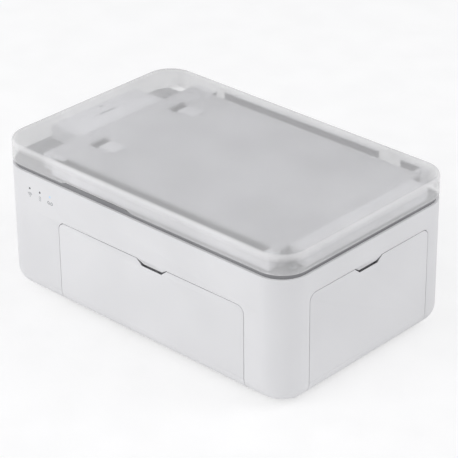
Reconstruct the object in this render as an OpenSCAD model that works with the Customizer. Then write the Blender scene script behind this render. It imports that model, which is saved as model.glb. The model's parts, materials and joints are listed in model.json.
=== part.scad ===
// Compact photo printer: a white moulded body with a frosted hinged lid,
// a front paper door, a side ribbon door and the print engine inside.
// +X runs along the front, +Y to the back, +Z up; the origin is on the table
// under the middle of the body. All sizes are in millimetres.

/* [Body] */
// Length of the body along the front
body_w = 194.6; // [190:0.1:204]
// Depth of the body from front to back
body_d = 124.4; // [123:0.1:132]
// Height from the table to the top of the lid
total_h = 84.4; // [84:0.1:92]
// Height of the rubber feet
foot_h = 2.4; // [1.6:0.1:3]
// Radius of a rubber foot
foot_r = 5.5; // [4:0.1:6.5]
// Radius of the four upright corners
corner_r = 15.5; // [13:0.1:18]
// Radius where the walls roll into the floor
bottom_r = 8.5; // [8:0.1:9.5]
// Thickness of the moulded body walls
wall = 2.2; // [1.8:0.1:2.5]

/* [Lid] */
// Height of the lid from its lower edge to its top
lid_h = 11.2; // [10.6:0.1:12]
// Thickness of the lid's side walls
lid_wall = 2; // [1.6:0.1:2.2]
// Thickness of the lid's top plate
lid_top = 1.8; // [1.4:0.1:2]
// Radius of the lid's upper edge
lid_edge_r = 1.9; // [1:0.1:1.9]
// Open groove between the body and the lid
groove_h = 2.6; // [2.4:0.1:3.2]
// Inset of the plinth that shows in the groove
plinth_in = 1.4; // [1:0.1:1.8]
// Middle of the finger recess in the lid's front edge, along X
recess_x = -27; // [-40:1:20]
// Length of the finger recess
recess_w = 43; // [30:1:60]
// Height of the finger recess
recess_h = 1.2; // [0.8:0.1:2]
// Length of the slope at each end of the finger recess
recess_slope = 3.4; // [2:0.1:5]
// Distance of each lid hinge from the middle
hinge_x = 60; // [40:1:70]
// Distance of the lid's hinge axis from the back face
hinge_in = 2.6; // [2.4:0.1:3]
// Height of the lid's hinge axis above the lid's lower edge
hinge_up = 0.6; // [0.4:0.1:1]
// Radius of the hinge knuckles
knuckle_r = 2.3; // [2:0.1:2.4]
// Radius of the hinge pins
hinge_pin_r = 0.9; // [0.7:0.05:1.1]
// Width of the hinge ear on the deck
ear_w = 7; // [5:0.5:10]
// Width of each lug on the lid
lug_w = 3; // [2:0.5:4]

/* [Front door] */
// Middle of the front door along X
front_x = 8.1; // [4:0.1:12]
// Width of the front door
front_w = 126.4; // [126:0.1:130]
// Height of the front door's top edge above the table
front_top = 50; // [46:0.1:52]
// Middle of the front finger notch, from the middle of the door
front_notch_x = 2.5; // [-10:0.1:10]

/* [Side door] */
// Middle of the side door along Y
side_y = -0.2; // [-2:0.1:2]
// Width of the side door
side_w = 88; // [87:0.1:89]
// Height of the side door's top edge above the table
side_top = 59.1; // [58.8:0.1:61]
// Middle of the side finger notch, from the middle of the door
side_notch_x = -1.4; // [-10:0.1:10]

/* [Door details] */
// Gap round each door
door_gap = 0.3; // [0.2:0.05:0.5]
// Radius of the doors' upper corners
door_corner_r = 4; // [2:0.1:6]
// Length of the bottom of a finger notch
notch_w = 13.4; // [10:0.1:18]
// Depth of a finger notch below the door's top edge
notch_h = 2.9; // [2:0.1:4]
// Length of the slope at each end of a finger notch
notch_slope = 3.4; // [2:0.1:5]
// Gap for a fingernail round the body's tongue in a notch
nail_gap = 0.9; // [0.6:0.1:1.2]
// Thickness of a door's hinge ear
door_ear_t = 2; // [1.5:0.1:2.5]
// Radius of a door's hinge hub
door_hub_r = 3.2; // [2.6:0.1:3.6]
// Radius of a door's hinge pin
door_pin_r = 1.5; // [1.2:0.1:1.8]
// Width of the hinge bosses beside each door
door_boss_w = 4; // [3:0.1:4.4]

/* [Clearances] */
// Radial clearance of a running fit
run_gap = 0.05; // [0.03:0.01:0.08]
// Radial clearance where a piece is fixed on or in another
fix_gap = 0.02; // [0.01:0.01:0.03]
// Gap between pieces that pass or drop in beside each other
side_gap = 0.3; // [0.2:0.05:0.5]

/* [Indicators and buttons] */
// Distance of the first indicator from the body's left end
lamp_in = 21.6; // [19.5:0.1:23]
// Distance from one indicator to the next
lamp_step = 7.45; // [5:0.05:8]
// Height of the indicators above the table
lamp_z = 62.2; // [60:0.1:64]
// Radius of an indicator's light pipe
lamp_r = 0.6; // [0.4:0.1:0.9]
// Place of the power button along Y
power_y = -30; // [-36:1:-24]
// Height of the power button above the table
power_z = 56; // [54:0.5:58]
// Radius of the power button
power_r = 5; // [4:0.1:6]
// Travel of the power button
power_travel = 1; // [0.6:0.1:1.2]
// Place of the reset button along X
reset_x = 30; // [20:1:34]
// Radius of the reset button
reset_r = 1.4; // [1:0.1:1.8]
// Travel of the reset button
reset_travel = 0.5; // [0.3:0.1:0.6]

/* [Paper and cassette] */
// Length of a sheet of photo paper
paper_l = 152.4; // [150:0.1:153]
// Width of a sheet of photo paper
paper_w = 101.6; // [100:0.1:102]
// Height of the stack of paper
stack_h = 5; // [1:0.1:6]
// Middle of the cassette's paper pocket along X
cassette_x = 6.9; // [5:0.1:8]
// Height of the cassette from its underside to its cover's top
cassette_h = 19.3; // [18:0.1:19.6]
// Height of the cassette's shelf and rails
shelf_h = 8.1; // [7:0.1:8.2]
// Thickness of the cassette's walls
cassette_wall = 1.3; // [1:0.1:1.4]
// Width of the cassette across its rails
rail_span = 118.8; // [116:0.1:119]
// Thickness of a cassette rail
rail_t = 1.2; // [0.9:0.1:1.5]
// Length of the cassette's rails
rail_l = 146.4; // [140:0.1:147]
// Width of the cassette's handle
handle_w = 61; // [40:1:64]
// Length of the cassette's handle
handle_l = 21.5; // [16:0.1:22]

/* [Print engine] */
// Clear width of the paper bay between the side plates
bay_w = 121; // [120:0.1:122]
// Thickness of the steel side plates
plate_t = 1.5; // [1:0.1:2]
// Radius of the rubber platen roller
platen_r = 5.5; // [5:0.1:5.6]
// Place of the platen roller along Y
platen_y = 3; // [2:0.1:4]
// Height of the platen roller's axis above the table
platen_z = 31.2; // [30.8:0.1:31.6]
// Radius of the platen's shaft
platen_shaft_r = 2.5; // [2:0.1:2.6]
// Radius of the grit feed roller
feed_r = 4; // [3.6:0.1:4.2]
// Distance of the feed roller in front of the platen
feed_step = 16; // [15.6:0.1:16.4]
// Radius of the feed and pick-up shafts
feed_shaft_r = 2; // [1.5:0.1:2.2]
// Radius of the pinch roller
pinch_r = 1.6; // [1.4:0.1:2]
// Radius of the rubber pick-up tyres
pickup_r = 5.5; // [5:0.1:5.6]
// Height of the pick-up shaft above the table
pickup_z = 29.5; // [29:0.1:30]
// Gap that the paper needs between two rollers
paper_gap = 0.3; // [0.25:0.01:0.4]
// Height of the ribbon spools' axes above the table
spool_z = 46.3; // [46:0.1:46.6]
// Place of the supply spool along Y
supply_y = -30.5; // [-31:0.1:-30]
// Place of the take-up spool along Y
take_up_y = 31; // [30.6:0.1:31.4]
// Outer radius of the ribbon cartridge's tubes
tube_r = 10.8; // [10:0.1:10.8]
// Wall of the ribbon cartridge's tubes
tube_wall = 1.2; // [1:0.1:1.4]
// Radius of the full ribbon roll
supply_roll_r = 8.4; // [6:0.1:8.6]
// Radius of the used ribbon roll
take_up_roll_r = 6; // [5:0.1:8.6]
// Radius of a ribbon spool's core
core_r = 4; // [3.6:0.1:4.5]
// Thickness drawn for the ribbon film
film_t = 0.12; // [0.08:0.01:0.2]
// Height of the rear paper slot
slot_h = 5; // [4.6:0.1:5.6]

/* [Gears] */
// Module of the gear teeth
gear_mod = 0.5; // [0.48:0.01:0.51]
// Teeth of the platen gear
platen_teeth = 33; // [32:1:33]
// Teeth of the feed roller gear
feed_teeth = 24; // [23:1:24]
// Teeth of the pick-up gear
pickup_teeth = 24; // [23:1:25]
// Teeth of the lower idler gear
idler_teeth = 20; // [19:1:24]
// Teeth of the ribbon idler gear
ribbon_teeth = 34; // [34:1:36]
// Teeth of the ribbon drive gear
hub_teeth = 30; // [30:1:31]
// Teeth of the motor's pinion
pinion_teeth = 14; // [14:1:16]
// Width of the gears' teeth
gear_t = 4; // [3:0.1:4.4]
// Side play between two meshed teeth
backlash = 0.1; // [0.06:0.01:0.14]
// Radius of the motor
motor_r = 13; // [10:0.1:13.5]
// Length of the motor
motor_l = 20; // [14:0.1:24]

/* [Fan and electronics] */
// Side of the square fan frame
fan_w = 30; // [25:0.5:32]
// Depth of the fan frame
fan_t = 7; // [6:0.1:8]
// Length of the main board
board_w = 108; // [96:1:112]
// Depth of the main board
board_d = 25; // [22:1:26]
// Place of the power socket along X
socket_x = 50; // [44:1:54]

/* [Hidden] */
$fn = 64;
over = 1;

// Heights of the main levels
rim_z = total_h - lid_h - groove_h;
lid_z = total_h - lid_h;
floor_z = foot_h + wall;
deck_z = lid_z - 0.2;
flange_t = 2;
cover_z = total_h - lid_top - 1;
cassette_z = cover_z - cassette_h;
shelf_z = cover_z - shelf_h;
pan_t = 2;
pan_z = cassette_z - pan_t;

// Inner faces of the body
in_w = body_w - 2 * wall;
in_d = body_d - 2 * wall;
axis_z = foot_h + bottom_r;
lid_axis_y = body_d / 2 - hinge_in;
lid_axis_z = lid_z + hinge_up;

// Cassette outline
pocket_l = paper_l + 0.4;
pocket_w = paper_w + 0.4;
box_l = pocket_l + 2 * cassette_wall;
box_w = pocket_w + 2 * cassette_wall;
pan_wall = 1.6;
rail_x = cassette_x + box_l / 2 - rail_l / 2 + 0.4;
end_block = 5;
end_w = 90;
collar_w = 1.5;
skin_t = 1.4;
step_in = 3.4;
hinge_room = ear_w / 2 + side_gap + lug_w + 0.6;

// Engine planes along X, outwards from the middle of the bay
bay_left = front_x - bay_w / 2;
bay_right = front_x + bay_w / 2;
gear_x = bay_left - plate_t - 2 - gear_t;
gear_plate_x = gear_x - 1 - plate_t;
plate_front = -44;
plate_back = 46;
plate_top = pan_z - 1.8;
roller_l = paper_w + 4.4;
film_w = paper_w + 2.4;
tube_l = bay_w - 2;

// Axes as [y, z] points, found from where the rollers and gears touch
function pitch(teeth) = gear_mod * teeth / 2;
function turned(v, a) = [v[0] * cos(a) - v[1] * sin(a), v[0] * sin(a) + v[1] * cos(a)];
function heading(a, b) = atan2(b[1] - a[1], b[0] - a[0]);
// The point at distance ra from a and rb from b, on the left of the way from a to b
function meet(a, b, ra, rb) =
    let (d = norm(b - a), along = (ra * ra - rb * rb + d * d) / (2 * d))
    a + turned([along, sqrt(ra * ra - along * along)], heading(a, b));

platen_at = [platen_y, platen_z];
nip_z = platen_z + platen_r;
feed_at = [platen_y - feed_step, nip_z - feed_r];
pinch_at = [feed_at[0], nip_z + paper_gap + pinch_r];
supply_at = [supply_y, spool_z];
hub_at = [take_up_y, spool_z];
idler_at = meet(platen_at, feed_at, pitch(platen_teeth + idler_teeth), pitch(feed_teeth + idler_teeth));
ribbon_at = meet(platen_at, hub_at, pitch(platen_teeth + ribbon_teeth), pitch(hub_teeth + ribbon_teeth));
pickup_reach = pitch(ribbon_teeth + pickup_teeth);
pickup_drop = ribbon_at[1] - pickup_z;
pickup_at = [ribbon_at[0] + sqrt(pickup_reach * pickup_reach - pickup_drop * pickup_drop), pickup_z];
motor_turn = 188;
motor_at = feed_at + turned([pitch(feed_teeth + pinion_teeth), 0], motor_turn);
head_pivot = [platen_y + 12.5, spool_z + 5.7];
head_low = nip_z + 1.7;
head_step = 8.6;
head_l = roller_l;
sink_h = 8.4;
fin_step = 2.8;
nip_film = [platen_y, nip_z + paper_gap + film_t / 2];

// Turn of a gear whose teeth mesh with a gear that is turned by from_turn
function meshed(from, from_teeth, from_turn, to, to_teeth) =
    let (way = heading(from, to))
    way + 180 + 180 / to_teeth + (from_teeth / to_teeth) * (way - from_turn);
idler_turn = meshed(platen_at, platen_teeth, 0, idler_at, idler_teeth);
feed_turn = meshed(idler_at, idler_teeth, idler_turn, feed_at, feed_teeth);
pinion_turn = meshed(feed_at, feed_teeth, feed_turn, motor_at, pinion_teeth);
ribbon_turn = meshed(platen_at, platen_teeth, 0, ribbon_at, ribbon_teeth);
hub_turn = meshed(ribbon_at, ribbon_teeth, ribbon_turn, hub_at, hub_teeth);
pickup_turn = meshed(ribbon_at, ribbon_teeth, ribbon_turn, pickup_at, pickup_teeth);

// Screws and small fixings
screw_r = 1.2;
screw_head_r = 2.4;
screw_head_h = 1.4;
deck_post_r = 3;
deck_post_left = [-body_w / 2 + 13.3, body_d / 2 - 14.2];
deck_post_right = [body_w / 2 - 6.8, body_d / 2 - 13.2];
foot_at = [body_w / 2 - 23.3, body_d / 2 - 22.2];
tab_w = 8;
tab_l = 9;
motor_screw_step = [0, 9];
screw_bite = 1.2;
lamp_board_in = 3.2;
lamp_board_t = 1;
switch_in = 6;
switch_h = 2.4;
flange_step = 0.8;
button_gap = 0.15;
chassis_screw_y = [plate_front + 20, plate_back - 20];
stud_r = 1.5;
hub_r = 3;
drive_pin_r = 1.8;
needle_r = 1;
bush_t = 1.2;
slot_z = platen_z + 2.5;
board_z = floor_z + 3.4;
board_t = 1.6;
board_x = front_x - 0.6;
board_back = in_d / 2 - 2.5;
fan_x = -in_w / 2 + corner_r - wall + fan_w / 2 + side_gap;
fan_z = 36;
lamp_x = -body_w / 2 + lamp_in;
socket_w = 9;
socket_h = 10.5;
socket_l = 13;
socket_bore_r = 2.9;
socket_at_z = board_z + board_t + 5.6;
reset_z = board_z + board_t + 2.6;

/* ---- shapes that are shared ---- */

// A quarter of a disc, towards the side that the two signs give
module quarter_disc(r, sx, sy) {
    intersection() {
        circle(r);
        translate([sx > 0 ? 0 : -r, sy > 0 ? 0 : -r]) square(r);
    }
}

// A rectangle with round corners, centred
module round_rect(w, d, r) {
    square([w - 2 * r, d], center = true);
    square([w, d - 2 * r], center = true);
    for (sx = [-1, 1], sy = [-1, 1]) {
        translate([sx * (w / 2 - r), sy * (d / 2 - r)]) quarter_disc(r, sx, sy);
    }
}

// Half section of a tub wall, from its corner axis outwards
module edge_profile(r, rb, h) {
    translate([0, rb]) square([r, h - rb]);
    square([r - rb, rb]);
    translate([r - rb, rb]) quarter_disc(rb, 1, -1);
}

// A solid tub with round upright corners and a rolled lower edge
module tub(w, d, r, rb, h) {
    cx = w / 2 - r;
    cy = d / 2 - r;
    translate([-cx, -cy, 0]) cube([2 * cx, 2 * cy, h]);
    for (k = [0:3]) {
        a = k % 2 == 0 ? cx : cy;
        b = k % 2 == 0 ? cy : cx;
        rotate([0, 0, 90 * k]) {
            translate([a, 0, 0]) rotate([90, 0, 0])
                linear_extrude(2 * b, center = true) edge_profile(r, rb, h);
            translate([a, b, 0]) rotate_extrude(angle = 90) edge_profile(r, rb, h);
        }
    }
}

// A cylinder along X from x0 to x1 at a [y, z] point
module rod(at, r, x0, x1) {
    translate([x0, at[0], at[1]]) rotate([0, 90, 0]) cylinder(r = r, h = x1 - x0);
}

// A tube along X from x0 to x1 at a [y, z] point
module sleeve(at, r_out, r_in, x0, x1) {
    difference() {
        rod(at, r_out, x0, x1);
        rod(at, r_in, x0 - over, x1 + over);
    }
}

// A flat plate of a y-z outline, from x0 to x1
module side_sheet(x0, x1) {
    translate([x0, 0, 0]) rotate([90, 0, 90]) linear_extrude(x1 - x0) children();
}

// A box given by its low and high corners
module block(lo, hi) {
    translate(lo) cube(hi - lo);
}

// Involute gear outline with its first tooth along the first axis
function involute(a) = tan(a) * 180 / PI - a;
function flank(teeth, r) =
    let (rp = pitch(teeth), base = rp * cos(20), play = backlash / rp * 45 / PI)
    90 / teeth - play + involute(20) - involute(acos(min(1, base / r)));
function tooth(teeth, k) =
    let (
        rp = pitch(teeth),
        low = max(rp - 1.2 * gear_mod, rp * cos(20)),
        radii = [rp - 1.2 * gear_mod, low, rp, rp + 0.85 * gear_mod]
    )
    [
        for (j = [0:3]) [radii[j], k * 360 / teeth - flank(teeth, max(radii[j], low))],
        for (j = [3:-1:0]) [radii[j], k * 360 / teeth + flank(teeth, max(radii[j], low))]
    ];
module gear_outline(teeth) {
    spots = [for (k = [0:teeth - 1]) each tooth(teeth, k)];
    polygon([for (p = spots) p[0] * [cos(p[1]), sin(p[1])]]);
}

// A gear along X at a [y, z] point, bored to run or sit on a shaft
module gear(at, teeth, turn, bore_r) {
    difference() {
        translate([gear_x, at[0], at[1]]) rotate([90, 0, 90])
            linear_extrude(gear_t) rotate(turn) gear_outline(teeth);
        rod(at, bore_r, gear_x - over, gear_x + gear_t + over);
    }
}

/* ---- the doors, drawn round their own hinge axis, with outwards along -Y ---- */

module place_front() {
    translate([front_x, -body_d / 2 + bottom_r, axis_z]) children();
}

module place_side() {
    translate([body_w / 2 - bottom_r, side_y, axis_z]) rotate([0, 0, 90]) children();
}

// Section of the wall round the hinge axis: a rolled quarter and an upright
module lip_profile(h) {
    difference() {
        quarter_disc(bottom_r, 1, -1);
        circle(bottom_r - wall);
    }
    translate([bottom_r - wall, 0]) square([wall, h]);
}

// Outline of a door seen from the front, open at the bottom
module door_outline(w, h, grow) {
    r = door_corner_r + grow;
    half = w / 2 + grow;
    top = h + grow;
    translate([-half, -bottom_r - over]) square([2 * half, top - r + bottom_r + over]);
    translate([-half + r, top - r]) square([2 * half - 2 * r, r]);
    for (s = [-1, 1]) translate([s * (half - r), top - r]) quarter_disc(r, s, 1);
}

// Outline of a finger notch, with its top edge at height h
module notch_outline(x, h, shrink) {
    a = notch_w / 2 - shrink;
    b = a + notch_slope;
    low = h - notch_h + shrink;
    polygon([
        [x - a, low], [x + a, low], [x + b, h], [x + b, h + over], [x - b, h + over], [x - b, h]
    ]);
}

// Extrudes an outline seen from the front through depths y0 to y1
module through(y0, y1) {
    translate([0, y1, 0]) rotate([90, 0, 0]) linear_extrude(y1 - y0) children();
}

// A hub with the web that joins it to the rolled wall
module hub_web(x0, x1) {
    side_sheet(x0, x1) {
        circle(door_hub_r);
        quarter_disc(bottom_r - wall / 2, -1, -1);
    }
}

module door_panel(w, h, notch_x) {
    intersection() {
        rotate([0, 0, -90]) rotate([90, 0, 0])
            linear_extrude(w, center = true) lip_profile(h);
        difference() {
            through(-bottom_r - over, over) door_outline(w, h, 0);
            through(-bottom_r - over, over) notch_outline(notch_x, h, 0);
        }
    }
    for (s = [-1, 1]) mirror([s < 0 ? 1 : 0, 0, 0]) {
        hub_web(w / 2 - door_ear_t - 0.4, w / 2 - 0.4);
        rod([0, 0], door_pin_r, w / 2 - 0.5, w / 2 + door_gap + door_boss_w - 0.4);
    }
}

// What is cut from the body for a door
module door_cut(w, h) {
    through(-bottom_r - over, 0) door_outline(w, h, door_gap);
    slot = sqrt(bottom_r * bottom_r - (bottom_r - wall) * (bottom_r - wall)) + door_gap;
    translate([-w / 2 - door_gap, -over, -bottom_r - over])
        cube([w + 2 * door_gap, slot + over, wall + over + 0.1]);
}

// What the body gains beside a door: the hinge bosses, the tongue and the strip behind the notch
module door_seat(w, h, notch_x) {
    edge = w / 2 + door_gap;
    for (s = [-1, 1]) mirror([s < 0 ? 1 : 0, 0, 0]) hub_web(edge, edge + door_boss_w);
    face = -bottom_r;
    back = face + wall + side_gap;
    half = notch_w / 2 + notch_slope + over;
    top = h + door_gap;
    through(face, face + wall) notch_outline(notch_x, top, nail_gap - door_gap);
    block([notch_x - half, back, h - notch_h - 2.5], [notch_x + half, back + 1.5, top + over]);
    block([notch_x - half, back - side_gap - 0.1, top], [notch_x + half, back + 1.5, top + over]);
}

module door_bores(w) {
    edge = w / 2 + door_gap;
    rod([0, 0], door_pin_r + run_gap, -edge - door_boss_w - 0.01, edge + door_boss_w + 0.01);
}

/* ---- the body ---- */

module deck_post_spots() {
    for (s = [-1, 1]) {
        translate([deck_post_left[0], s * deck_post_left[1], 0]) children();
        translate([deck_post_right[0], s * deck_post_right[1], 0]) children();
    }
}

module chassis_screw_spots() {
    for (y = chassis_screw_y) {
        translate([bay_left - plate_t - tab_w / 2 - 0.5, y, 0]) children();
        translate([bay_right + plate_t + tab_w / 2 + 0.5, y, 0]) children();
    }
}

module fan_screw_spots() {
    for (sx = [-1, 1], sz = [-1, 1]) {
        translate([fan_x + sx * (fan_w / 2 - 3), 0, fan_z + sz * (fan_w / 2 - 3)]) children();
    }
}

module switch_board_spots() {
    for (s = [-1, 1]) translate([0, power_y + s * 9, power_z]) children();
}

module lamp_board_spots() {
    for (x = [lamp_x - 4, lamp_x + 2 * lamp_step + 4]) translate([x, -in_d / 2, lamp_z]) children();
}

module board_post_spots() {
    for (s = [-1, 1]) {
        translate([board_x + s * (board_w / 2 - 4), board_back - 4, 0]) children();
        translate([board_x + s * (board_w / 2 - 4), board_back - board_d + 4, 0]) children();
    }
}

// Openings of the back wall: paper slot, power socket, reset button and fan vents
module back_openings() {
    y0 = in_d / 2 - over;
    y1 = body_d / 2 + over;
    slot_w = roller_l + 2;
    translate([front_x, 0, slot_z]) block([-slot_w / 2, y0, -slot_h / 2], [slot_w / 2, y1, slot_h / 2]);
    translate([socket_x, y0, socket_at_z]) rotate([-90, 0, 0])
        cylinder(r = socket_bore_r + 1.6, h = y1 - y0);
    translate([reset_x, y0, reset_z]) rotate([-90, 0, 0])
        cylinder(r = reset_r + run_gap, h = y1 - y0);
    for (k = [-3:3]) {
        block([fan_x - 10, y0, fan_z + 3.4 * k - 0.8], [fan_x + 10, y1, fan_z + 3.4 * k + 0.8]);
    }
}

module body_shell() {
    color("white") difference() {
        union() {
            difference() {
                translate([0, 0, foot_h]) tub(body_w, body_d, corner_r, bottom_r, rim_z - foot_h);
                translate([0, 0, floor_z])
                    tub(in_w, in_d, corner_r - wall, bottom_r - wall, rim_z);
                place_front() door_cut(front_w, front_top - axis_z);
                place_side() door_cut(side_w, side_top - axis_z);
                back_openings();
            }
            place_front() door_seat(front_w, front_top - axis_z, front_notch_x);
            place_side() door_seat(side_w, side_top - axis_z, side_notch_x);
            deck_post_spots() translate([0, 0, floor_z - over])
                cylinder(r = deck_post_r, h = rim_z - flange_t - floor_z + over);
            board_post_spots() translate([0, 0, floor_z - over])
                cylinder(r = 2.2, h = board_z - floor_z + over);
            switch_board_spots() translate([-in_w / 2 - over, 0, 0]) rotate([0, 90, 0])
                cylinder(r = 2, h = over + switch_in);
            lamp_board_spots() translate([0, -over, 0]) rotate([-90, 0, 0])
                cylinder(r = 1.5, h = over + lamp_board_in);
        }
        place_front() door_bores(front_w);
        place_side() door_bores(side_w);
        deck_post_spots() translate([0, 0, rim_z - flange_t - 12])
            cylinder(r = screw_r + fix_gap, h = 13);
        chassis_screw_spots() {
            translate([0, 0, foot_h - over]) cylinder(r = screw_head_r + 0.3, h = over + 1.2);
            translate([0, 0, foot_h]) cylinder(r = screw_r + fix_gap, h = wall + over);
        }
        for (k = [0:2]) translate([lamp_x + k * lamp_step, -in_d / 2 + over, lamp_z])
            rotate([90, 0, 0]) cylinder(r = lamp_r + fix_gap, h = wall + 2 * over);
        translate([-body_w / 2 - over, power_y, power_z]) rotate([0, 90, 0])
            cylinder(r = power_r + button_gap, h = wall + 2 * over);
        fan_screw_spots() translate([0, in_d / 2 - over, 0]) rotate([-90, 0, 0])
            cylinder(r = screw_r + fix_gap, h = over + screw_bite + 0.2);
    }
}

module rubber_feet() {
    color("dimgray") for (sx = [-1, 1], sy = [-1, 1]) {
        translate([sx * foot_at[0], sy * foot_at[1], 0]) {
            cylinder(r1 = foot_r - 0.4, r2 = foot_r, h = 0.5);
            translate([0, 0, 0.5]) cylinder(r = foot_r, h = foot_h - 0.5);
        }
    }
}

// Outline of the deck's upper ring: inset all round, and further at the back for the lid's swing
module plinth_outline() {
    back = hinge_in + knuckle_r + 1;
    w = body_w - 2 * plinth_in;
    intersection() {
        round_rect(w, body_d - 2 * plinth_in, corner_r - plinth_in);
        translate([-w / 2, -body_d / 2]) square([w, body_d - back]);
    }
}

module top_deck() {
    color("gainsboro") {
        difference() {
            union() {
                translate([0, 0, rim_z - flange_t])
                    linear_extrude(flange_t) round_rect(in_w - 0.2, in_d - 0.2, corner_r - wall - 0.1);
                translate([0, 0, rim_z]) linear_extrude(deck_z - rim_z) plinth_outline();
                translate([cassette_x, 0, pan_z]) linear_extrude(deck_z - pan_z)
                    cassette_box_outline(side_gap + pan_wall);
                for (s = [-1, 1]) deck_ear(s * hinge_x);
            }
            translate([cassette_x, 0, cassette_z]) linear_extrude(cassette_h)
                cassette_box_outline(side_gap);
            deck_post_spots() translate([0, 0, rim_z - flange_t - over])
                cylinder(r = screw_r + fix_gap, h = 10);
            rod([lid_axis_y, lid_axis_z], hinge_pin_r + run_gap, -body_w / 2, body_w / 2);
        }
    }
}

// The ear that holds a hinge pin, standing on the deck's flange
module deck_ear(x) {
    rod([lid_axis_y, lid_axis_z], knuckle_r, x - ear_w / 2, x + ear_w / 2);
    block([x - ear_w / 2, lid_axis_y - knuckle_r, rim_z - flange_t / 2],
          [x + ear_w / 2, in_d / 2 - 0.1, lid_axis_z]);
}

module deck_screws() {
    color("silver") deck_post_spots() {
        translate([0, 0, deck_z]) cylinder(r = screw_head_r, h = screw_head_h);
        translate([0, 0, deck_z - 12]) cylinder(r = screw_r, h = 12.1);
    }
}

module light_pipes() {
    color("lightskyblue") for (k = [0:2]) {
        translate([lamp_x + k * lamp_step, -body_d / 2, lamp_z]) rotate([-90, 0, 0]) {
            cylinder(r = lamp_r, h = wall + 1);
            translate([0, 0, wall]) cylinder(r = lamp_r + 0.6, h = lamp_board_in - 0.2);
        }
    }
}

module indicator_board() {
    y0 = -in_d / 2 + lamp_board_in;
    color("seagreen") block([lamp_x - 6, y0, lamp_z - 5],
                            [lamp_x + 2 * lamp_step + 6, y0 + lamp_board_t, lamp_z + 5]);
}

/* ---- electronics ---- */

module main_board() {
    color("seagreen") block([board_x - board_w / 2, board_back - board_d, board_z],
                            [board_x + board_w / 2, board_back, board_z + board_t]);
}

module board_components() {
    z = board_z + board_t;
    color("dimgray") {
        block([board_x - 8, board_back - 17, z], [board_x + 6, board_back - 3, z + 1.4]);
        block([board_x - 28, board_back - 15, z], [board_x - 18, board_back - 8, z + 1.2]);
        block([board_x + 12, board_back - 22, z], [board_x + 18, board_back - 16, z + 3]);
        for (k = [0:2]) translate([socket_x - 14, board_back - 6 - 7 * k, z]) cylinder(r = 2.6, h = 7);
        block([reset_x - 2.5, board_back - 6, z], [reset_x + 2.5, board_back + 0.1, z + 4.2]);
    }
}

module power_socket() {
    y1 = in_d / 2 - 0.2;
    z = board_z + board_t;
    color("black") difference() {
        block([socket_x - socket_w / 2, y1 - socket_l, z], [socket_x + socket_w / 2, y1, z + socket_h]);
        translate([socket_x, y1 - 10, socket_at_z]) rotate([-90, 0, 0]) difference() {
            cylinder(r = socket_bore_r, h = 11);
            cylinder(r = 1, h = 9.5);
        }
    }
}

module wireless_module() {
    z = board_z + board_t;
    color("silver") block([board_x - 50, board_back - 19, z], [board_x - 34, board_back - 1, z + 2.2]);
}

module switch_board() {
    x = -in_w / 2 + switch_in;
    color("seagreen") {
        block([x, power_y - 12, power_z - 5], [x + 1.2, power_y + 12, power_z + 5]);
        block([x - switch_h, power_y - 2.5, power_z - 2.5], [x, power_y + 2.5, power_z + 2.5]);
    }
}

module fan_frame() {
    y1 = in_d / 2;
    color("dimgray") {
        difference() {
            block([fan_x - fan_w / 2, y1 - fan_t, fan_z - fan_w / 2],
                  [fan_x + fan_w / 2, y1, fan_z + fan_w / 2]);
            translate([fan_x, y1 - fan_t - over, fan_z]) rotate([-90, 0, 0])
                cylinder(r = fan_w / 2 - 1.5, h = fan_t + 2 * over);
            fan_screw_spots() translate([0, y1 - fan_t - over, 0]) rotate([-90, 0, 0])
                cylinder(r = screw_r + fix_gap, h = fan_t + 2 * over);
        }
        translate([fan_x, y1 - 1.2, fan_z]) rotate([-90, 0, 0]) cylinder(r = 5, h = 1.2);
        translate([fan_x, y1 - 5.5, fan_z]) rotate([-90, 0, 0]) cylinder(r = 1, h = 5);
        for (a = [45:90:315]) translate([fan_x, y1 - 1.2, fan_z]) rotate([0, a, 0])
            translate([4, 0, -1]) cube([fan_w / 2 - 4.5, 1.2, 2]);
    }
}

module fan_screws() {
    y1 = in_d / 2;
    color("silver") fan_screw_spots() translate([0, y1 - fan_t - screw_head_h, 0]) rotate([-90, 0, 0]) {
        cylinder(r = screw_head_r, h = screw_head_h);
        cylinder(r = screw_r, h = fan_t + screw_head_h + screw_bite);
    }
}

module fan_rotor() {
    y1 = in_d / 2;
    color("black") translate([fan_x, y1 - 5.7, fan_z]) rotate([-90, 0, 0]) difference() {
        union() {
            cylinder(r = 5, h = 4.2);
            for (k = [0:6]) rotate([0, 0, k * 360 / 7]) translate([4, 0, 2.1]) rotate([32, 0, 0])
                translate([0, -2.8, -0.4]) cube([fan_w / 2 - 6.1, 5.6, 0.8]);
        }
        translate([0, 0, -over]) cylinder(r = 1 + run_gap, h = 4 + 2 * over + 1);
    }
}

/* ---- chassis ---- */

module plate_outline() {
    translate([plate_front, floor_z]) square([plate_back - plate_front, plate_top - floor_z]);
}

module plate_tabs(x0) {
    for (y = chassis_screw_y) {
        block([x0, y - tab_l / 2, floor_z], [x0 + tab_w + 0.5, y + tab_l / 2, floor_z + plate_t]);
    }
}

module plate_holes() {
    translate(platen_at) circle(platen_shaft_r + bush_t + fix_gap);
    translate(feed_at) circle(feed_shaft_r + bush_t + fix_gap);
    translate(pickup_at) circle(feed_shaft_r + bush_t + fix_gap);
    translate(pinch_at) circle(needle_r + run_gap);
    translate(head_pivot) circle(stud_r + run_gap);
}

// The path of the ribbon film, from one roll round the nip to the other
function touch(c, r, p, side) =
    let (way = heading(p, c), d = norm(c - p), off = asin(r / d))
    p + turned([sqrt(d * d - r * r), 0], way + side * off);
film_from = touch(supply_at, supply_roll_r + film_t, nip_film, -1);
film_to = touch(hub_at, take_up_roll_r + film_t, nip_film, 1);
module film_band(half) {
    for (end = [film_from, film_to]) translate(nip_film) rotate(heading(nip_film, end))
        translate([-half, -half]) square([norm(end - nip_film) + half, 2 * half]);
}

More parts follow.
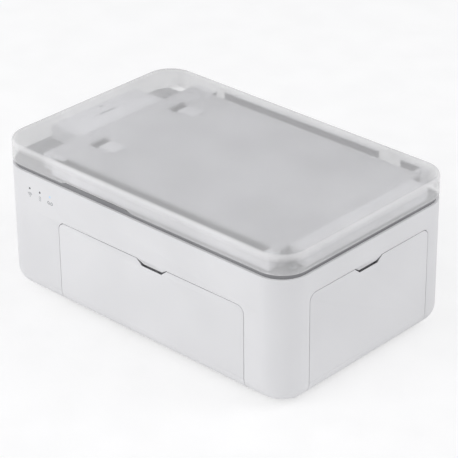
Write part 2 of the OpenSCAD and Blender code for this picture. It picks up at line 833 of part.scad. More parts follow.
module left_side_plate() {
    color("lightsteelblue") {
        side_sheet(bay_left - plate_t, bay_left) difference() {
            plate_outline();
            plate_holes();
            translate(hub_at) circle(hub_r + run_gap);
            for (at = [idler_at, ribbon_at]) translate(at) circle(stud_r + fix_gap);
            for (at = spacer_spots) translate(at) circle(screw_r + fix_gap);
        }
        difference() {
            plate_tabs(bay_left - plate_t - tab_w - 0.5);
            chassis_screw_spots() cylinder(r = screw_r + fix_gap, h = 12);
        }
    }
}

module right_side_plate() {
    color("lightsteelblue") {
        side_sheet(bay_right, bay_right + plate_t) difference() {
            plate_outline();
            plate_holes();
            for (at = [supply_at, hub_at]) translate(at) circle(tube_r + side_gap);
            film_band(0.9);
        }
        difference() {
            plate_tabs(bay_right + plate_t);
            chassis_screw_spots() cylinder(r = screw_r + fix_gap, h = 12);
        }
    }
}

// Spacers near the gear plate's corners, and their distance from its edges
spacer_spots = [[-36, 20], [-36, 52], [14, 16], [10, 55]];
spacer_edge = 4;
module gear_plate() {
    ys = [for (at = spacer_spots) at[0]];
    zs = [for (at = spacer_spots) at[1]];
    color("silver") side_sheet(gear_plate_x, gear_plate_x + plate_t) difference() {
        translate([min(ys) - spacer_edge, min(zs) - spacer_edge])
            square([max(ys) - min(ys) + 2 * spacer_edge, max(zs) - min(zs) + 2 * spacer_edge]);
        translate(platen_at) circle(platen_shaft_r + 1);
        translate(feed_at) circle(feed_shaft_r + 1);
        translate(motor_at) circle(4.2);
        for (at = [idler_at, ribbon_at]) translate(at) circle(stud_r + fix_gap);
        for (at = spacer_spots) translate(at) circle(screw_r + fix_gap);
        for (s = [-1, 1]) translate(motor_at + s * motor_screw_step) circle(screw_r + fix_gap);
    }
}

module plate_spacers() {
    color("silver") for (at = spacer_spots) {
        rod(at, 2.4, gear_plate_x + plate_t, bay_left - plate_t);
        rod(at, screw_r, gear_plate_x, bay_left);
        rod(at, screw_head_r, gear_plate_x - screw_head_h, gear_plate_x);
    }
}

module cross_bars() {
    color("lightsteelblue") {
        block([bay_left, plate_front + 0.5, 27], [bay_right, plate_front + 2, 34]);
        block([bay_left, plate_back - 2, slot_z + 5], [bay_right, plate_back - 0.5, plate_top - 2]);
    }
}

module chassis_screws() {
    color("silver") chassis_screw_spots() {
        translate([0, 0, foot_h + 0.1]) cylinder(r = screw_head_r, h = 1.1);
        translate([0, 0, foot_h + 0.1]) cylinder(r = screw_r, h = wall + plate_t + 1.4);
    }
}

module bushing_pair(at, shaft_r) {
    for (x = [bay_left - plate_t, bay_right]) {
        sleeve(at, shaft_r + bush_t, shaft_r + run_gap, x, x + plate_t);
    }
}

module bushings() {
    color("darkgoldenrod") {
        bushing_pair(platen_at, platen_shaft_r);
        bushing_pair(feed_at, feed_shaft_r);
        bushing_pair(pickup_at, feed_shaft_r);
    }
}

module gear_studs() {
    color("silver") for (at = [idler_at, ribbon_at]) rod(at, stud_r, gear_plate_x, bay_left);
}

module paper_guide() {
    z = slot_z - slot_h / 2;
    start = pickup_at[0] + pickup_r + 1;
    color("silver") side_sheet(bay_left, bay_right) polygon([
        [start, z + 2.2], [plate_back, z + 1], [plate_back, z], [start, z + 1.2]
    ]);
    color("silver") side_sheet(front_x - roller_l / 2, front_x + roller_l / 2) polygon([
        [plate_back, z + 1], [in_d / 2 - 0.1, z + 0.4], [in_d / 2 - 0.1, z - 0.6], [plate_back, z]
    ]);
}

module motor_body() {
    x1 = gear_plate_x;
    color("darkgray") difference() {
        union() {
            rod(motor_at, motor_r, x1 - motor_l, x1);
            rod(motor_at, 4, x1, x1 + 1);
        }
        rod(motor_at, needle_r + run_gap, x1 - motor_l + 2, x1 + 2);
        for (s = [-1, 1]) rod(motor_at + s * motor_screw_step, screw_r + fix_gap, x1 - 4, x1 + over);
    }
}

module motor_screws() {
    x1 = gear_plate_x;
    color("silver") for (s = [-1, 1]) {
        rod(motor_at + s * motor_screw_step, screw_r, x1 - 3.8, x1 + plate_t);
        rod(motor_at + s * motor_screw_step, 2, x1 + plate_t, x1 + plate_t + 0.8);
    }
}

module motor_shaft() {
    x1 = gear_plate_x;
    color("silver") rod(motor_at, needle_r, x1 - motor_l + 2.3, gear_x + gear_t + 0.5);
}

module motor_pinion() {
    color("gold") gear(motor_at, pinion_teeth, pinion_turn, needle_r + fix_gap);
}

/* ---- rollers and gears ---- */

module platen_shaft() {
    color("silver") rod(platen_at, platen_shaft_r, gear_plate_x + plate_t / 2, bay_right + plate_t + 2);
}

module platen_roller() {
    color("dimgray") sleeve(platen_at, platen_r, platen_shaft_r + fix_gap,
                            front_x - roller_l / 2, front_x + roller_l / 2);
}

module platen_gear() {
    color("ivory") gear(platen_at, platen_teeth, 0, platen_shaft_r + fix_gap);
}

module feed_roller() {
    color("silver") {
        rod(feed_at, feed_r, front_x - roller_l / 2, front_x + roller_l / 2);
        rod(feed_at, feed_shaft_r, gear_plate_x + plate_t / 2, bay_right + plate_t + 2);
    }
}

module feed_gear() {
    color("ivory") gear(feed_at, feed_teeth, feed_turn, feed_shaft_r + fix_gap);
}

module pinch_roller() {
    color("silver") {
        rod(pinch_at, pinch_r, front_x - roller_l / 2, front_x + roller_l / 2);
        rod(pinch_at, needle_r, bay_left - plate_t, bay_right + plate_t);
    }
}

module pickup_shaft() {
    color("silver") rod(pickup_at, feed_shaft_r, gear_x - 0.5, bay_right + plate_t + 2);
}

module pickup_tyres() {
    color("dimgray") for (s = [-1, 1]) {
        sleeve(pickup_at, pickup_r, feed_shaft_r + fix_gap, front_x + s * 16 - 6, front_x + s * 16 + 6);
    }
}

module pickup_gear() {
    color("ivory") gear(pickup_at, pickup_teeth, pickup_turn, feed_shaft_r + fix_gap);
}

module idler_gear() {
    color("ivory") gear(idler_at, idler_teeth, idler_turn, stud_r + run_gap);
}

module ribbon_idler_gear() {
    color("ivory") gear(ribbon_at, ribbon_teeth, ribbon_turn, stud_r + run_gap);
}

module ribbon_drive_hub() {
    color("ivory") {
        gear(hub_at, hub_teeth, hub_turn, needle_r);
        rod(hub_at, hub_r, gear_x + gear_t, bay_left + 0.4);
        rod(hub_at, drive_pin_r, bay_left, bay_left + 5);
        rod(hub_at, needle_r, gear_x, gear_x + gear_t);
    }
}

/* ---- ribbon ---- */

module spool(at) {
    x0 = bay_left + 1.4;
    x1 = bay_left + tube_l - 0.4;
    difference() {
        union() {
            rod(at, core_r, x0 + tube_wall + side_gap, x1 - tube_wall - side_gap);
            rod(at, hub_r, x0, x1);
        }
        rod(at, drive_pin_r + 0.4, x0 - over, x0 + 6);
    }
}

module supply_spool() {
    color("whitesmoke") spool(supply_at);
}

module take_up_spool() {
    color("whitesmoke") spool(hub_at);
}

module supply_roll() {
    color("goldenrod") sleeve(supply_at, supply_roll_r, core_r + fix_gap,
                              front_x - film_w / 2, front_x + film_w / 2);
}

module take_up_roll() {
    color("goldenrod") sleeve(hub_at, take_up_roll_r, core_r + fix_gap,
                              front_x - film_w / 2, front_x + film_w / 2);
}

module ribbon_film() {
    color("goldenrod") side_sheet(front_x - film_w / 2, front_x + film_w / 2) film_band(film_t / 2);
}

// Two tubes for the spools, joined by one end plate with a grip
module ribbon_cartridge() {
    x0 = bay_left + 1.4;
    x1 = bay_left + tube_l - 0.4;
    plate_x = bay_right + plate_t + side_gap;
    color("lightgray") difference() {
        union() {
            for (at = [supply_at, hub_at]) rod(at, tube_r, x0, plate_x);
            side_sheet(plate_x, plate_x + 3) {
                for (at = [supply_at, hub_at]) translate(at) circle(tube_r);
                translate([supply_at[0], spool_z - 8]) square([hub_at[0] - supply_at[0], 16]);
            }
            block([plate_x + 2, -14, spool_z - 2], [plate_x + 12, 14, spool_z + 2]);
        }
        for (at = [supply_at, hub_at]) {
            rod(at, tube_r - tube_wall, x0 + tube_wall, x1 - tube_wall);
            rod(at, hub_r + run_gap, x0 - over, x1 + 0.01);
        }
        side_sheet(front_x - film_w / 2 - 1, front_x + film_w / 2 + 1) film_band(0.9);
    }
}

/* ---- print head ---- */

module print_head() {
    y = platen_at[0];
    color("dimgray") side_sheet(front_x - head_l / 2, front_x + head_l / 2) polygon([
        [y - 1.2, head_low], [y - 0.4, head_low], [y + 6, head_low + 5.6],
        [y + 6, head_low + head_step], [y - 6, head_low + head_step], [y - 6, head_low + 5.6]
    ]);
}

module heat_sink() {
    y = platen_at[0];
    z = head_low + head_step;
    color("silver") difference() {
        block([front_x - head_l / 2, y - 7, z], [front_x + head_l / 2, y + 8, z + sink_h]);
        for (k = [-2:2]) translate([front_x, y + 0.5 + fin_step * k, z + 2.4])
            block([-head_l, -0.8, 0], [head_l, 0.8, sink_h]);
    }
}

// Two arms that carry the head, with the stub pins they turn on
module head_arm() {
    y = platen_at[0];
    z = head_low + head_step;
    color("lightsteelblue") for (s = [-1, 1]) {
        translate([front_x, 0, 0]) mirror([s < 0 ? 1 : 0, 0, 0]) {
            side_sheet(bay_w / 2 - 0.3 - 1.5, bay_w / 2 - 0.3) {
                translate([y - 6, z - 4]) square([12, 10]);
                translate([y, z]) square([head_pivot[0] - y, 6]);
                translate(head_pivot) circle(3.2);
            }
            rod(head_pivot, stud_r, bay_w / 2 - 0.4, bay_w / 2 + plate_t);
            block([head_l / 2, y - 5, z - 3.6], [bay_w / 2 - 1, y + 5, z - 0.2]);
        }
    }
}

/* ---- cassette, stored under the lid ---- */

module cassette_box_outline(grow) {
    square([box_l + 2 * grow, box_w + 2 * grow], center = true);
}

module cassette_base() {
    top = cover_z - cassette_wall;
    color("white") difference() {
        translate([cassette_x, 0, cassette_z]) linear_extrude(top - cassette_z) cassette_box_outline(0);
        translate([cassette_x, 0, cassette_z + cassette_wall]) linear_extrude(cassette_h)
            cassette_box_outline(-cassette_wall);
    }
}

// The frame round the tub: a collar with the two rails, the handle and the right-hand end
module cassette_frame() {
    left = cassette_x - box_l / 2;
    right = cassette_x + box_l / 2;
    rail_left = rail_x - rail_l / 2;
    rail_right = rail_x + rail_l / 2;
    end_right = body_w / 2 - lid_wall - side_gap;
    color("white") difference() {
        union() {
            translate([cassette_x, 0, shelf_z]) linear_extrude(1.2) cassette_box_outline(collar_w);
            block([rail_left, -rail_span / 2, shelf_z], [rail_right, rail_span / 2, shelf_z + 1.2]);
            for (s = [-1, 1]) mirror([0, s < 0 ? 1 : 0, 0]) {
                block([rail_left, rail_span / 2 - rail_t, shelf_z],
                      [rail_right, rail_span / 2, cover_z]);
                block([rail_right - end_block, box_w / 2 - 0.5, shelf_z],
                      [rail_right, rail_span / 2, cover_z]);
                block([left, box_w / 2 - 0.5, shelf_z],
                      [rail_left + end_block, rail_span / 2 - step_in, cover_z]);
            }
            block([left - handle_l, -handle_w / 2, shelf_z], [left + 1, handle_w / 2, cover_z]);
            block([right - 1, -end_w / 2, shelf_z], [end_right, end_w / 2, cover_z]);
        }
        translate([cassette_x, 0, shelf_z - over]) linear_extrude(cassette_h) cassette_box_outline(0);
        for (s = [-1, 1]) block([s * hinge_x - hinge_room, lid_axis_y - knuckle_r - 0.4, shelf_z - over],
                                [s * hinge_x + hinge_room, rail_span, cover_z + over]);
        block([left - handle_l + skin_t, -handle_w / 2 + skin_t, shelf_z - over],
              [left - 0.6, handle_w / 2 - skin_t, cover_z - skin_t]);
        block([right + skin_t, -end_w / 2 + skin_t, shelf_z - over],
              [end_right - skin_t, end_w / 2 - skin_t, cover_z - skin_t]);
        translate([left - handle_l + 3.2, 2, cover_z - 0.5]) cylinder(r = 0.8, h = over);
        block([left - handle_l + 9.4, -5.3, cover_z - 0.5], [left - handle_l + 10.6, 5.3, cover_z + over]);
    }
}

// The cover with its two latch tabs and their slots
tab_x = cassette_x - box_l / 2 + 22;
tab_y = 28.5;
tab_half = 5.5;
module cassette_cover() {
    t = cassette_wall;
    color("whitesmoke") difference() {
        union() {
            translate([cassette_x, 0, cover_z - t]) linear_extrude(t) cassette_box_outline(-0.1);
            for (s = [-1, 1]) block([tab_x - tab_half, s * tab_y - 4.5, cover_z - t],
                                    [tab_x + tab_half, s * tab_y + 4.5, cover_z + 0.4]);
        }
        for (s = [-1, 1]) block([tab_x - tab_half - 6.5, s * tab_y - 5.5, cover_z - t - over],
                                [tab_x - tab_half, s * tab_y + 5.5, cover_z + over]);
    }
}

module pressure_plate() {
    z = cassette_z + cassette_wall;
    color("lightgray") {
        translate([cassette_x, 0, z + 1.2]) linear_extrude(1.2)
            square([paper_l - 6, paper_w - 6], center = true);
        for (sx = [-1, 1], sy = [-1, 1]) {
            translate([cassette_x + sx * (paper_l / 2 - 16.2), sy * (paper_w / 2 - 14.8), z])
                cylinder(r = 4, h = 1.3);
        }
    }
}

module paper_stack() {
    color("ivory") translate([cassette_x, 0, cassette_z + cassette_wall + 2.4])
        linear_extrude(stack_h) square([paper_l, paper_w], center = true);
}

/* ---- lid ---- */

module lid_lug(x0, x1) {
    rod([lid_axis_y, lid_axis_z], knuckle_r, x0, x1);
    block([x0, lid_axis_y - knuckle_r, lid_axis_z], [x1, body_d / 2 - lid_wall / 2, lid_axis_z + 4]);
}

module lid_shell() {
    color([0.93, 0.94, 0.95, 0.6]) difference() {
        union() {
            difference() {
                translate([0, 0, total_h]) mirror([0, 0, 1])
                    tub(body_w, body_d, corner_r, lid_edge_r, lid_h);
                translate([0, 0, lid_z - over]) linear_extrude(lid_h - lid_top + over)
                    round_rect(body_w - 2 * lid_wall, body_d - 2 * lid_wall, corner_r - lid_wall);
                translate([recess_x, 0, lid_z]) through(-body_d / 2 - over, -body_d / 2 + lid_wall + over)
                    polygon([
                        [-recess_w / 2 - recess_slope, -over], [recess_w / 2 + recess_slope, -over],
                        [recess_w / 2 + recess_slope, 0], [recess_w / 2, recess_h],
                        [-recess_w / 2, recess_h], [-recess_w / 2 - recess_slope, 0]
                    ]);
                for (s = [-1, 1]) {
                    translate([s * hinge_x, 0, lid_z])
                        block([-ear_w / 2 - side_gap, lid_axis_y - 5, -over],
                              [ear_w / 2 + side_gap, body_d / 2 + over, hinge_up + knuckle_r + 0.5]);
                }
            }
            for (s = [-1, 1], side = [-1, 1]) {
                near = s * hinge_x + side * (ear_w / 2 + side_gap);
                far = near + side * lug_w;
                lid_lug(min(near, far), max(near, far));
            }
        }
        rod([lid_axis_y, lid_axis_z], hinge_pin_r + fix_gap, -body_w / 2, body_w / 2);
    }
}

module lid_hinge_pins() {
    half = ear_w / 2 + side_gap + lug_w;
    color("silver") for (s = [-1, 1]) {
        rod([lid_axis_y, lid_axis_z], hinge_pin_r, s * hinge_x - half, s * hinge_x + half);
    }
}

/* ---- doors and buttons ---- */

module front_door() {
    color("white") place_front() door_panel(front_w, front_top - axis_z, front_notch_x);
}

module side_door() {
    color("white") place_side() door_panel(side_w, side_top - axis_z, side_notch_x);
}

module power_button() {
    x = -body_w / 2;
    color("white") translate([x, power_y, power_z]) rotate([0, 90, 0]) {
        cylinder(r = power_r, h = wall + 0.2);
        translate([0, 0, wall + 0.1]) cylinder(r = power_r + flange_step, h = 1);
        cylinder(r = 2, h = wall + switch_in - switch_h - power_travel - 0.1);
    }
}

module reset_button() {
    y1 = body_d / 2 - 0.5;
    y0 = board_back + 0.1 + reset_travel + 0.1;
    color("dimgray") translate([reset_x, y0, reset_z]) rotate([-90, 0, 0]) {
        cylinder(r = reset_r, h = y1 - y0);
        cylinder(r = reset_r + flange_step, h = in_d / 2 - 0.1 - y0);
    }
}

body_shell();
rubber_feet();
top_deck();
deck_screws();
light_pipes();
indicator_board();
main_board();
board_components();
power_socket();
wireless_module();
switch_board();
left_side_plate();
right_side_plate();
gear_plate();
plate_spacers();
cross_bars();
chassis_screws();
bushings();
gear_studs();
motor_body();
motor_screws();
paper_guide();
fan_frame();
fan_screws();
cassette_base();
cassette_frame();
cassette_cover();
pressure_plate();
paper_stack();
ribbon_cartridge();
ribbon_film();
lid_shell();
lid_hinge_pins();
front_door();
side_door();
power_button();
reset_button();
platen_roller();
platen_shaft();
platen_gear();
feed_roller();
feed_gear();
pinch_roller();
pickup_tyres();
pickup_shaft();
pickup_gear();
idler_gear();
ribbon_idler_gear();
ribbon_drive_hub();
motor_shaft();
motor_pinion();
supply_spool();
supply_roll();
take_up_spool();
take_up_roll();
print_head();
head_arm();
heat_sink();
fan_rotor();
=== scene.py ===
# %% [markdown]
# # A compact photo printer with a frosted lid
# The real object is a white moulded box, about the size of a thick book. A milky lid
# covers the stored paper cassette, and two doors close the front and the side.
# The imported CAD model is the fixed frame. This script gives each of its nodes a finish,
# rounds the edges that show, and adds the small details that are too fine for CAD.

# %% Load the frame
import json
import math

import bpy
from mathutils import Matrix, Vector


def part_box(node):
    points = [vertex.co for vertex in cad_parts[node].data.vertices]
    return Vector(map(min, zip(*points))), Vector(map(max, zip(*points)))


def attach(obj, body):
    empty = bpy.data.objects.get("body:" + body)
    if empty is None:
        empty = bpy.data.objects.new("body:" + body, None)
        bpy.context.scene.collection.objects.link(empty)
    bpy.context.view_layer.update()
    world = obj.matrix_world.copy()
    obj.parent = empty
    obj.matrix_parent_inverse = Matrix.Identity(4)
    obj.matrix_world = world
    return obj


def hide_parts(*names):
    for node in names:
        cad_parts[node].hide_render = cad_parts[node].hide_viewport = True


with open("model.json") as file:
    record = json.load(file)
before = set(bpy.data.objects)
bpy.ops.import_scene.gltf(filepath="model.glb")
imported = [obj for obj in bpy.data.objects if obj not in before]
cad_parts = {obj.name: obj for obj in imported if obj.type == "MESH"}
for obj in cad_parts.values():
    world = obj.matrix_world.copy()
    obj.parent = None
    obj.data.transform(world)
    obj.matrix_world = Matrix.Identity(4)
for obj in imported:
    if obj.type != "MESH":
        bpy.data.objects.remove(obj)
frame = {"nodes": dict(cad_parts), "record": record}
NODES = frame["nodes"]
BODY_OF = {node: body
           for body, nodes in frame["record"]["behaviour"]["bodies"].items()
           for node in nodes}
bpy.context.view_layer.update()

# %% [markdown]
# ## Colours and shader nodes
# Colours are chosen as sRGB hex values, as a picture editor shows them. Blender's sockets
# hold linear values, so one function turns each colour once. A second function adds a
# shader node together with its settings and links, which keeps every material short.

# %% Helpers for colours and shader nodes
MM = 0.001


def linear(hex_colour):
    """An sRGB hex colour as the linear values that a socket holds."""
    channels = [int(hex_colour[i:i + 2], 16) / 255 for i in (0, 2, 4)]
    return (*[c / 12.92 if c <= 0.04045 else ((c + 0.055) / 1.055) ** 2.4 for c in channels], 1.0)


def add(tree, kind, inputs=None, **settings):
    """Adds a shader node. An input that is given as a socket is linked, any other is set."""
    node = tree.nodes.new(kind)
    for name, value in settings.items():
        setattr(node, name, value)
    for name, value in (inputs or {}).items():
        same = [s for s in node.inputs if name in (s.name, s.identifier) and s.enabled]
        socket = node.inputs[name] if isinstance(name, int) else same[0]
        if isinstance(value, bpy.types.NodeSocket):
            tree.links.new(value, socket)
        else:
            socket.default_value = value
    return node


def start(name):
    """A new material, its empty tree and the Object coordinates of the surface."""
    material = bpy.data.materials.new(name)
    material.use_nodes = True
    tree = material.node_tree
    tree.nodes.clear()
    place = add(tree, "ShaderNodeTexCoord").outputs["Object"]
    return material, tree, place


def finish_surface(material, tree, shader):
    add(tree, "ShaderNodeOutputMaterial", {"Surface": shader.outputs[0]})
    print("material:", material.name, "nodes:", len(tree.nodes))
    return material


def tones(tree, factor, dark, light, low=0.35, high=0.65):
    """Two close tones, spread over the part of a pattern's range that is named."""
    ramp = add(tree, "ShaderNodeValToRGB", {"Fac": factor})
    ramp.color_ramp.elements[0].position = low
    ramp.color_ramp.elements[0].color = linear(dark)
    ramp.color_ramp.elements[1].position = high
    ramp.color_ramp.elements[1].color = linear(light)
    return ramp.outputs["Color"]


def spread(tree, factor, low, high):
    """Turns a factor from 0 to 1 into a value from low to high."""
    return add(tree, "ShaderNodeMapRange", {
        "Value": factor, "To Min": low, "To Max": high}).outputs[0]


def noise(tree, place, across, detail):
    """A noise pattern whose features are about `across` metres wide."""
    return add(tree, "ShaderNodeTexNoise", {
        "Vector": place, "Scale": 1 / across, "Detail": detail}).outputs["Fac"]


def bumped(tree, height, strength, distance):
    return add(tree, "ShaderNodeBump", {
        "Height": height, "Strength": strength, "Distance": distance}).outputs["Normal"]


def vector_math(tree, operation, *values):
    return add(tree, "ShaderNodeVectorMath", dict(enumerate(values)), operation=operation)


def maths(tree, operation, *values):
    return add(tree, "ShaderNodeMath", dict(enumerate(values)), operation=operation).outputs[0]

# %% [markdown]
# ## Moulded plastic
# Injection-moulded ABS copies the fine spark-eroded grain of its mould. The grain is about
# 0.1 mm across, finer than a pixel here, so it is drawn 0.6 mm wide and very shallow.
# A wide, faint cloud keeps large faces from looking like one flat colour.

# %% Moulded plastic
GRAIN = 0.6 * MM
CLOUD = 35 * MM
# Painted shade: in hollows, the deck's and the cassette's colour darkens towards this grey.
PAINTED_HOLLOW_SHADE = ("262628", 9 * MM)
ABS_IOR = {"IOR": 1.54}


def paint_hollow_shade(tree, colour, dark, reach):
    """Painted shade: darkens a colour in hollows, where other faces lie closer than `reach`
    metres.
    """
    open_air = add(tree, "ShaderNodeAmbientOcclusion", {"Distance": reach},
                   only_local=True, samples=8)
    hidden = add(tree, "ShaderNodeMapRange", {
        "Value": open_air.outputs["AO"], "From Min": 0.35, "From Max": 0.95,
        "To Min": 1.0, "To Max": 0.0})
    mixed = add(tree, "ShaderNodeMix", {
        "Factor": hidden.outputs[0], "A": colour, "B": linear(dark)}, data_type="RGBA")
    return mixed.outputs["Result"]


def moulded(name, dark, light, roughness, depth=0.012, hollow_shade=None, **shader):
    material, tree, place = start(name)
    grain = noise(tree, place, GRAIN, 2.0)
    colour = tones(tree, noise(tree, place, CLOUD, 1.0), dark, light)
    # Painted shade in the hollows, for the parts that are given it.
    if hollow_shade:
        colour = paint_hollow_shade(tree, colour, *hollow_shade)
    rough = spread(tree, grain, roughness - 0.05, roughness + 0.05)
    inputs = {"Base Color": colour, "Roughness": rough,
              "Normal": bumped(tree, grain, 0.25, depth * MM)}
    inputs.update(shader)
    return finish_surface(material, tree, add(tree, "ShaderNodeBsdfPrincipled", inputs))


MATERIALS = {
    "white_shell": moulded("white_abs", "eaeaeb", "eeeeef", 0.42, **ABS_IOR),
    # The deck's grey is part its own tone and part painted shade, darkened for the voids beside
    # the cassette and the groove under the lid.
    "deck_plastic": moulded("deck_abs_and_painted_shade", "868688", "8d8d8f", 0.5, hollow_shade=PAINTED_HOLLOW_SHADE, **ABS_IOR),
    "cassette_white": moulded(
        "cassette_abs", "dbdbde", "e1e1e4", 0.45, hollow_shade=PAINTED_HOLLOW_SHADE, **ABS_IOR),
    "cassette_grey": moulded("cassette_cover_abs", "c2c2c5", "c9c9cc", 0.5, **ABS_IOR),
    "cassette_tub": moulded("cassette_tub_abs", "707073", "77777a", 0.5, **ABS_IOR),
    "cartridge_grey": moulded("cartridge_styrene", "6e7175", "75787c", 0.45, **{"IOR": 1.59}),
    "black_plastic": moulded("black_abs", "1c1c1e", "232326", 0.4, **ABS_IOR),
    "gear_plastic": moulded("acetal_gears", "e2dfd4", "e9e6dc", 0.35, **{"IOR": 1.48}),
}

# %% [markdown]
# ## The frosted lid
# The lid is moulded polycarbonate with a milky haze. Part of the light passes straight
# through a wall, part is spread, and part comes back as white. Where the eye looks along a
# wall instead of through it, as at the rims, the same plastic looks almost solid white.
# A surface shader knows nothing of depth, so the rims are found from the lid's outline and
# height, and made more opaque there.

# %% Distance from the lid's outline
LID_W, LID_D, LID_CORNER = 194.6, 124.4, 15.5


def from_outline(tree, place, width, depth, corner):
    """How far a point lies outside a rounded rectangle, in metres: negative inside it."""
    straight = ((width / 2 - corner) * MM, (depth / 2 - corner) * MM, 0.0)
    flat = vector_math(tree, "MULTIPLY", place, (1.0, 1.0, 0.0))
    mirrored = vector_math(tree, "ABSOLUTE", flat.outputs[0])
    beyond = vector_math(tree, "SUBTRACT", mirrored.outputs[0], straight)
    kept = vector_math(tree, "MAXIMUM", beyond.outputs[0], (0.0, 0.0, 0.0))
    length = vector_math(tree, "LENGTH", kept.outputs[0]).outputs["Value"]
    return maths(tree, "SUBTRACT", length, corner * MM)

# %% Frosted polycarbonate
def frosted(name, dark, light, roughness, clear, rim_clear, milk, rim_milk):
    """clear is the share that passes a face straight; milk the share of the rest that turns
    white. Both have a second value for the rims."""
    material, tree, place = start(name)
    grain = noise(tree, place, GRAIN, 2.0)
    colour = tones(tree, noise(tree, place, CLOUD, 1.0), dark, light)
    rough = spread(tree, grain, roughness - 0.04, roughness + 0.04)
    outline = from_outline(tree, place, LID_W, LID_D, LID_CORNER)
    over_wall = add(tree, "ShaderNodeMapRange", {
        "Value": outline, "From Min": -1.2 * MM, "From Max": -0.4 * MM}).outputs[0]
    height = add(tree, "ShaderNodeSeparateXYZ", {"Vector": place}).outputs["Z"]
    beside_top = add(tree, "ShaderNodeMapRange", {
        "Value": height, "From Min": 80.0 * MM, "From Max": 82.8 * MM}).outputs[0]
    normal = add(tree, "ShaderNodeNewGeometry").outputs["Normal"]
    upright = add(tree, "ShaderNodeSeparateXYZ", {"Vector": normal}).outputs["Z"]
    level = maths(tree, "ABSOLUTE", upright)
    rim = add(tree, "ShaderNodeMix", {
        "Factor": level, "A": beside_top, "B": over_wall}).outputs["Result"]
    return finish_surface(material, tree, add(tree, "ShaderNodeBsdfPrincipled", {
        "Base Color": colour, "Roughness": rough, "IOR": 1.4,
        "Transmission Weight": spread(tree, rim, 1 - milk, 1 - rim_milk),
        "Alpha": spread(tree, rim, 1 - clear, 1 - rim_clear)}))


MATERIALS["frosted_lid"] = frosted(
    "frosted_polycarbonate", "f1f1f1", "f6f6f6", 0.3,
    clear=0.65, rim_clear=0.3, milk=0.8, rim_milk=1.0)

# %% [markdown]
# ## Rubber, steel and the other finishes inside
# Most of these show only when a door or the lid is open, yet each has its own grain.

# %% Rubber, and the matt grey of painted shade
def ground_rubber(name, dark, light, across):
    """A matt, finely rough surface, for ground rubber and for the grey that paints shade in gaps.
    """
    material, tree, place = start(name)
    fine = noise(tree, place, across * MM, 3.0)
    colour = tones(tree, fine, dark, light, 0.3, 0.7)
    return finish_surface(material, tree, add(tree, "ShaderNodeBsdfPrincipled", {
        "Base Color": colour, "Roughness": 0.85, "IOR": 1.52,
        "Normal": bumped(tree, fine, 0.4, 0.03 * MM)}))


MATERIALS["foot_rubber"] = ground_rubber("foot_rubber", "6a6a6d", "757578", 1.2)
MATERIALS["roller_rubber"] = ground_rubber("roller_rubber", "26262a", "303034", 0.8)

# %% Metals
def metal(name, dark, light, roughness, stretch, across, depth=0.01):
    """Drawn, ground or plated metal: a pattern stretched the way the metal was worked."""
    material, tree, place = start(name)
    scaled = add(tree, "ShaderNodeMapping", {"Vector": place, "Scale": stretch})
    grain = noise(tree, scaled.outputs["Vector"], across * MM, 3.0)
    colour = tones(tree, grain, dark, light, 0.3, 0.7)
    rough = spread(tree, grain, roughness - 0.08, roughness + 0.08)
    return finish_surface(material, tree, add(tree, "ShaderNodeBsdfPrincipled", {
        "Base Color": colour, "Roughness": rough, "Metallic": 1.0,
        "Normal": bumped(tree, grain, 0.3, depth * MM)}))


EVEN = (1.0, 1.0, 1.0)
ALONG_X = (0.05, 1.0, 1.0)
ROUND_X = (6.0, 1.0, 1.0)
MATERIALS.update({
    "screw_steel": metal("zinc_plated_screws", "a9abad", "bcbec0", 0.35, EVEN, 0.8),
    "plated_steel": metal("galvanised_sheet", "a4a7aa", "b4b7b9", 0.38, EVEN, 4.0),
    "polished_steel": metal("ground_steel_shaft", "b9bbbd", "c8cacc", 0.18, ROUND_X, 2.0),
    "motor_can": metal("drawn_steel_can", "8b8d90", "9b9da0", 0.35, ALONG_X, 0.8),
    "bronze": metal("sintered_bronze", "9a7040", "b08550", 0.45, EVEN, 0.5),
    "heat_sink_aluminium": metal("extruded_aluminium", "c0c3c6", "cfd2d4", 0.32, ALONG_X, 0.7),
})

# %% Board, light pipes, paper, head and film
LIT_FROM_X = -64.5


def circuit_board(name):
    """Green solder mask over copper tracks, drawn as a fine grid with gaps."""
    material, tree, place = start(name)
    tracks = add(tree, "ShaderNodeTexBrick", {
        "Vector": place, "Scale": 1.0, "Color1": linear("14603a"), "Color2": linear("1a6b42"),
        "Mortar": linear("0f4f2f"), "Mortar Size": 0.0006, "Brick Width": 0.009,
        "Row Height": 0.0022})
    rough = spread(tree, tracks.outputs["Fac"], 0.22, 0.34)
    return finish_surface(material, tree, add(tree, "ShaderNodeBsdfPrincipled", {
        "Base Color": tracks.outputs["Color"], "Roughness": rough,
        "Normal": bumped(tree, tracks.outputs["Fac"], 0.4, 0.04 * MM)}))


def light_pipe(name):
    """Clear acrylic: two unlit ends look grey, and the third, on the right, glows pale blue."""
    material, tree, place = start(name)
    along = add(tree, "ShaderNodeSeparateXYZ", {"Vector": place}).outputs["X"]
    lit = maths(tree, "GREATER_THAN", along, LIT_FROM_X * MM)
    colour = tones(tree, lit, "6e7074", "bcd6ee", 0.4, 0.6)
    glow = maths(tree, "MULTIPLY", lit, 0.25)
    return finish_surface(material, tree, add(tree, "ShaderNodeBsdfPrincipled", {
        "Base Color": colour, "Roughness": 0.2, "IOR": 1.49, "Emission Color": colour,
        "Emission Strength": glow}))


def sheet_stack(name, dark, light, thick):
    """A pile or roll: thin lines round its edges, one every `thick` millimetres."""
    material, tree, place = start(name)
    lines = add(tree, "ShaderNodeTexWave", {
        "Vector": place, "Scale": 2 * math.pi / (thick * MM) / 20, "Distortion": 0.3},
        bands_direction="Z")
    colour = tones(tree, lines.outputs["Fac"], dark, light, 0.1, 0.6)
    rough = spread(tree, lines.outputs["Fac"], 0.28, 0.2)
    return finish_surface(material, tree, add(tree, "ShaderNodeBsdfPrincipled", {
        "Base Color": colour, "Roughness": rough, "IOR": 1.5}))


